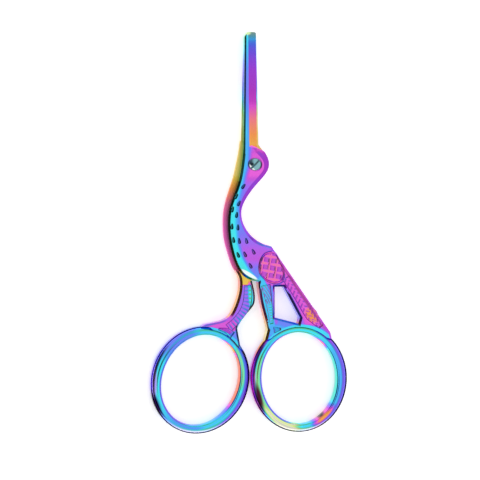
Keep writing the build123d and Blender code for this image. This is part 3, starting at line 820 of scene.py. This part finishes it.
# Painted shade in the carving: its sunken floors are darkened towards this dark blue
CARVING_PAINTED_SHADE = "#101840"
CARVING_SHADE_AMOUNT = 0.32          # how much of that painted shade, standing in for the dark reflection of its steep sides, is added
WING_PATCH = (WING_MIDDLE, (4.8, 5.8), 14, 0.8)
WING_SHADE_SHARE = 0.35            # the wing's carving takes this share of the painted shade

# Dimples: painted shade, darkest near the neck's edge; the dimples are found by their depth and by where they
# lie
DIMPLE_SHADE = "#0A1C20"
DIMPLE_START = (0.05, 0.2)  # depth
DIMPLE_FADE = (0.9, 3.6, 0.76, 0.42)        # from the neck's edge, and how dark they are there
DIMPLE_REACH = (-18.5, -21.5, 2.75, 6.2)    # Y, and how far from the neck's edge they lie there
DIMPLES_HIGHEST = (-4.6, -4.8)
DIMPLES_LOWEST = (-30.6, -30.4)
DIMPLES_RIGHTMOST = 0.3

POLISH = 0.16
STRIP_POLISH = 0.5          # the rear half's edge beside the neck is brushed, not polished
STRIP_START = (-31.0, -29.0)


def film_along(tree, height, stops):
    """Thickness along the Y axis, read off a ramp of greys on which a half stands for none."""
    share = add(tree, "ShaderNodeMapRange", None, height, REACH_LOW, REACH_HIGH)[0]
    greys = [((place - REACH_LOW) / (REACH_HIGH - REACH_LOW), [0.5 + film / (2 * FILM_CYCLE)] * 3 + [1.0])
             for place, film in stops]
    grey = add(tree, "ShaderNodeValToRGB", {"stops": greys}, share)[0]
    return add(tree, "ShaderNodeMath", SCALED_SUM, grey, 2 * FILM_CYCLE, -FILM_CYCLE)[0]


def film_colour(tree, film):
    """The colour of a film by its thickness, over two cycles."""
    share = add(tree, "ShaderNodeMath", SCALED_SUM, film, 0.5 / FILM_CYCLE, 0.5)[0]
    cycles = [(thickness - FILM_CYCLE, colour) for thickness, colour in FILM_COLOURS[:-1]] + FILM_COLOURS
    stops = [(0.5 + thickness / (2 * FILM_CYCLE), linear(colour)) for thickness, colour in cycles]
    return add(tree, "ShaderNodeValToRGB", {"stops": stops}, share)[0]


def patch_share(tree, place, middle, halves, turn, even):
    """How much of a soft elliptical patch there is at a place, from 0 to 1, at any height."""
    local = add(tree, "ShaderNodeMapping", {"vector_type": "TEXTURE"}, place, (*middle, 0.0),
                (0.0, 0.0, math.radians(turn)), (*halves, PATCH_HEIGHT))[0]
    reach = add(tree, "ShaderNodeVectorMath", {"operation": "LENGTH"}, local)["Value"]
    return add(tree, "ShaderNodeMapRange", SMOOTH, reach, even, 1.0, *FALLING)[0]


def with_patches(tree, place, film, patches):
    """Lays soft patches of another thickness over a thickness."""
    for middle, halves, turn, patch_film, even in patches:
        share = patch_share(tree, place, middle, halves, turn, even)
        film = add(tree, "ShaderNodeMix", NUMBERS, Factor=share, A=film, B=patch_film)[0]
    return film


def neck_distance(tree, axes):
    """How far a place lies to the right of the left edge of the stork's face."""
    edge = film_along(tree, axes["Y"], [(y, -x / NECK_SCALE) for y, x in NECK_EDGE])
    return add(tree, "ShaderNodeMath", SCALED_SUM, edge, NECK_SCALE, axes["X"])[0]


def carved_share(tree, sunk, facing):
    """How far a place is down in the carving, from 0 to 1."""
    steep = add(tree, "ShaderNodeMath", {"operation": "ABSOLUTE"}, facing["X"])[0]
    return within_all(tree, [(sunk, *CARVED_START), (sunk, *CARVED_OVER, *FALLING),
                             (steep, *CARVED_STEEP, *FALLING)])


def dimple_painted_shade(tree, axes, sunk, from_edge):
    """How much painted shade a place takes as part of a dimple, from 0 to 1."""
    reach = add(tree, "ShaderNodeMapRange", SMOOTH, axes["Y"], *DIMPLE_REACH)[0]
    near = add(tree, "ShaderNodeMath", LESS, from_edge, reach)[0]
    left = add(tree, "ShaderNodeMath", LESS, axes["X"], DIMPLES_RIGHTMOST)[0]
    return within_all(tree, [(sunk, *DIMPLE_START), (from_edge, *DIMPLE_FADE), (near, 0.0, 1.0),
                             (left, 0.0, 1.0), (axes["Y"], *DIMPLES_HIGHEST), (axes["Y"], *DIMPLES_LOWEST)])


def rainbow_coating(name, coat, on_stork):
    """Polished steel under a rainbow film. The thickness follows the place and the way the surface faces,
    since a hung part catches unlike amounts on its sides. The film takes its colour over the whole
    reflection, and the steel's polish keeps that sharp, so the eye gets bright bands and dark lines. Painted
    shade lies over the colour on the slopes on the right, in the carving and in the neck's dimples, with a
    painted highlight on the bows' lowest ends and patches of painted light and shade here and there."""
    material, tree = start_material(name)
    texture = add(tree, "ShaderNodeTexCoord")
    place = place_in_mm(tree, texture)
    axes = add(tree, "ShaderNodeSeparateXYZ", None, place)
    facing = add(tree, "ShaderNodeSeparateXYZ", None, texture["Normal"])
    sunk = add(tree, "ShaderNodeMath", {"operation": "SUBTRACT"}, TOP, axes["Z"])[0]
    on_slope = add(tree, "ShaderNodeMapRange", SMOOTH, facing["X"], *FACING_SLOPE)[0]
    on_wall = add(tree, "ShaderNodeMapRange", SMOOTH, facing["X"], *FACING_WALL)[0]
    carved = carved_share(tree, sunk, facing)

    face = film_along(tree, axes["Y"], coat["face"])
    if on_stork:
        from_edge = neck_distance(tree, axes)
        to_right = add(tree, "ShaderNodeMapRange", SMOOTH, from_edge, *NECK_BLEND)[0]
        face = add(tree, "ShaderNodeMix", NUMBERS, Factor=to_right, A=face,
                   B=film_along(tree, axes["Y"], coat["face_right"]))[0]
    face = with_patches(tree, place, face, coat["face_patches"])
    slopes = film_along(tree, axes["Y"], coat["slope"])
    walls = with_patches(tree, place, film_along(tree, axes["Y"], coat["wall"]), coat["wall_patches"])
    film = add(tree, "ShaderNodeMix", NUMBERS, Factor=on_slope, A=face, B=slopes)[0]
    film = add(tree, "ShaderNodeMix", NUMBERS, Factor=on_wall, A=film, B=walls)[0]
    colour = film_colour(tree, add(tree, "ShaderNodeMath", SCALED_SUM, carved, CARVED_FILM, film)[0])

    # Painted shade on the slopes on the right, less of it low on the bows and at the blade's root
    slope_shade_share = add(tree, "ShaderNodeMath", TIMES, on_slope, film_along(tree, axes["Y"], SLOPE_SHADE_STOPS))[0]
    colour = add(tree, "ShaderNodeMix", {"data_type": "RGBA", "blend_type": "MULTIPLY"}, Factor=slope_shade_share,
                 in_6=colour, in_7=linear(SLOPE_SHADE))[2]
    # Painted shade in the carving, less of it on the wing
    carving_shade = add(tree, "ShaderNodeMath", TIMES, carved, CARVING_SHADE_AMOUNT)[0]
    if on_stork:
        on_wing = patch_share(tree, place, *WING_PATCH)
        less = add(tree, "ShaderNodeMapRange", SMOOTH, on_wing, 0.0, 1.0, 1.0, WING_SHADE_SHARE)[0]
        carving_shade = add(tree, "ShaderNodeMath", TIMES, carving_shade, less)[0]
    colour = add(tree, "ShaderNodeMix", COLOURS, Factor=carving_shade, in_6=colour, in_7=linear(CARVING_PAINTED_SHADE))[2]
    # Painted highlight on the bows' lowest ends
    low = within_all(tree, [(facing["Y"], *FACING_LOW_END), (axes["Y"], *LOW_END_HEIGHTS, *LOW_END_SHARES)])
    colour = add(tree, "ShaderNodeMix", COLOURS, Factor=low, in_6=colour, in_7=linear(LOW_END_PAINTED_HIGHLIGHT))[2]
    # Patches of painted highlight and painted shade over all
    for middle, halves, turn, shade, even in coat["painted_light_and_shade"]:
        share = patch_share(tree, place, middle, halves, turn, even)
        colour = add(tree, "ShaderNodeMix", COLOURS, Factor=share, in_6=colour, in_7=linear(shade))[2]

    if on_stork:
        # Painted shade in the neck's dimples
        dimple_shade_share = dimple_painted_shade(tree, axes, sunk, from_edge)
        colour = add(tree, "ShaderNodeMix", COLOURS, Factor=dimple_shade_share, in_6=colour,
                     in_7=linear(DIMPLE_SHADE))[2]
        polish = POLISH
    else:
        polish = add(tree, "ShaderNodeMapRange", SMOOTH, axes["Y"], *STRIP_START, POLISH, STRIP_POLISH)[0]
    shader = add(tree, "ShaderNodeBsdfPrincipled", Base_Color=colour, Metallic=1.0, Roughness=polish)[0]
    add(tree, "ShaderNodeOutputMaterial", None, shader)
    return material


STEEL = "#84B4BC"
STEEL_POLISH = 0.12

# Painted light and shade over the screw's plain steel, painted shade to the left, a painted glint at the
# lower
# left rim and painted shade in the slot: the colour, X, Y and Z parts of a measure of the place, and the
# two values of it between which the colour comes in
STEEL_PAINTED_LIGHT_AND_SHADE = [
    ("#2A3348", (1, 0, 0), (-0.1, -1.3)),
    ("#F4F8F8", (1, 1, 0), (-1.3, -1.8)),
    ("#4A6A70", (0, 0, 1), (4.42, 4.36)),
]


def bright_steel():
    """Bare stainless steel of the screw, turned and polished. It is a smooth grey mirror; over its cool grey
    lie painted shade that darkens it to the left, a painted glint at its lower left rim and painted shade in
    the slot."""
    material, tree = start_material("bright_steel")
    place = place_in_mm(tree, add(tree, "ShaderNodeTexCoord"))
    colour = linear(STEEL)
    # Painted shade to the left, a painted glint at the lower left rim and painted shade in the slot
    for shade, way, stops in STEEL_PAINTED_LIGHT_AND_SHADE:
        along = add(tree, "ShaderNodeVectorMath", {"operation": "DOT_PRODUCT"}, place, way)["Value"]
        share = add(tree, "ShaderNodeMapRange", SMOOTH, along, *stops)[0]
        colour = add(tree, "ShaderNodeMix", COLOURS, Factor=share, in_6=colour, in_7=linear(shade))[2]
    shader = add(tree, "ShaderNodeBsdfPrincipled", Base_Color=colour, Metallic=1.0, Roughness=STEEL_POLISH)[0]
    add(tree, "ShaderNodeOutputMaterial", None, shader)
    return material


add_camera()
add_world()
add_floor()

# Body, material slot and finish of each node
PIECES = {
    "stork_half": ("stork", "rainbow_steel", rainbow_coating("rainbow_titanium_coating_stork", STORK_COAT,
                                                             on_stork=True)),
    "leg_half": ("leg", "rainbow_steel", rainbow_coating("rainbow_titanium_coating_leg", LEG_COAT,
                                                         on_stork=False)),
    "pivot_screw": ("leg", "bright_steel", bright_steel()),
}
for node, (body, slot, finish) in PIECES.items():
    piece = dressed(node) if node in BOWS else plain_copy(node)
    crisp(piece)
    piece.data.materials.clear()
    piece.data.materials.append(finish)
    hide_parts(node)
    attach(piece, body)

bpy.context.scene.view_settings.view_transform = "Standard"
